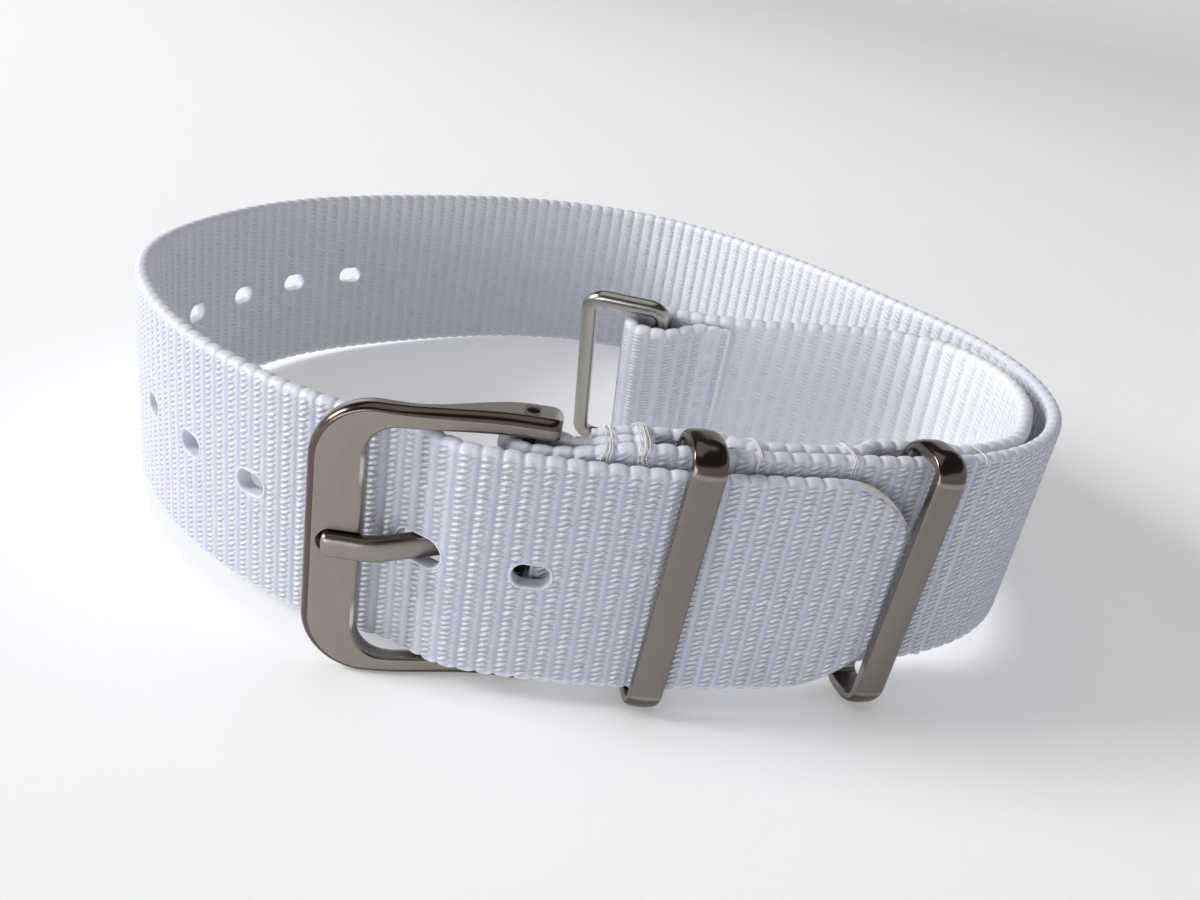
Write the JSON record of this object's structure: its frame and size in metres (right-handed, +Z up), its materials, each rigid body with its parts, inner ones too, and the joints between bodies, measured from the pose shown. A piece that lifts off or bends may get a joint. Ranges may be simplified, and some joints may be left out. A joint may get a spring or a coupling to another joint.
{
  "type": "watch strap",
  "caption": "Buckled two-layer pull-through watch strap of ribbed webbing with a sprung pin buckle, two sliding keepers and a wire ring at the short tail.",
  "frame": {"origin": "middle of the part's box, on the surface that the strap stands on", "axes": "+Z up along the width of the webbing, -Y out of the buckle's front, +X to the right as the buckle is seen, towards the tail's tip"},
  "size_m": [0.0896, 0.0824, 0.0246],
  "materials": {
    "main_webbing": "ribbed white webbing",
    "short_webbing": "ribbed white webbing",
    "thread": "white sewing thread",
    "frame_steel": "brushed front, polished edges",
    "tongue_steel": "brushed front, polished sides",
    "bar_steel": "plain steel",
    "keeper_steel": "brushed front, polished corners",
    "ring_steel": "polished wire"
  },
  "bodies": {
    "strap": {"main_strap": "main_webbing", "short_strap": "short_webbing", "seam_thread_1": "thread", "seam_thread_2": "thread", "seam_thread_3": "thread", "seam_thread_4": "thread", "seam_thread_5": "thread", "spring_bar_barrel": "bar_steel", "spring_bar_spring": "bar_steel"},
    "tip_upper": {"spring_bar_tip_upper": "bar_steel"},
    "tip_lower": {"spring_bar_tip_lower": "bar_steel"},
    "frame": {"buckle_frame": "frame_steel"},
    "tongue": {"buckle_tongue": "tongue_steel"},
    "front_keeper": {"keeper_front": "keeper_steel"},
    "rear_keeper": {"keeper_rear": "keeper_steel"},
    "ring": {"tail_ring": "ring_steel"}
  },
  "joints": [
    {"name": "frame_hinge", "type": "hinge", "parent": "strap", "child": "frame", "pos_m": [-0.00276, -0.03633, 0.0119], "axis": [0, 0, 1], "range_deg": [0, 3]},
    {"name": "tongue_hinge", "type": "hinge", "parent": "frame", "child": "tongue", "pos_m": [-0.00276, -0.03633, 0.0119], "axis": [0, 0, 1], "range_deg": [0, 2]},
    {"name": "upper_tip_slide", "type": "slide", "parent": "strap", "child": "tip_upper", "axis": [0, 0, -1], "range_m": [0, 0.0017], "stiffness_N_per_m": 1200, "deforming": ["spring_bar_spring"]},
    {"name": "lower_tip_slide", "type": "slide", "parent": "strap", "child": "tip_lower", "axis": [0, 0, 1], "range_m": [0, 0.0017], "stiffness_N_per_m": 1200, "deforming": ["spring_bar_spring"]},
    {"name": "front_keeper_slide", "type": "slide", "parent": "strap", "child": "front_keeper", "axis": [0.9748, 0.2233, 0], "range_m": [-0.0005, 0.0005]},
    {"name": "rear_keeper_slide", "type": "slide", "parent": "strap", "child": "rear_keeper", "axis": [0.9254, 0.3789, 0], "range_m": [-0.0005, 0.0005]},
    {"name": "ring_hinge", "type": "hinge", "parent": "strap", "child": "ring", "pos_m": [0.00709, 0.00295, 0.01118], "axis": [-0.0404, -0.4365, 0.8988], "range_deg": [-85, 60]}
  ]
}
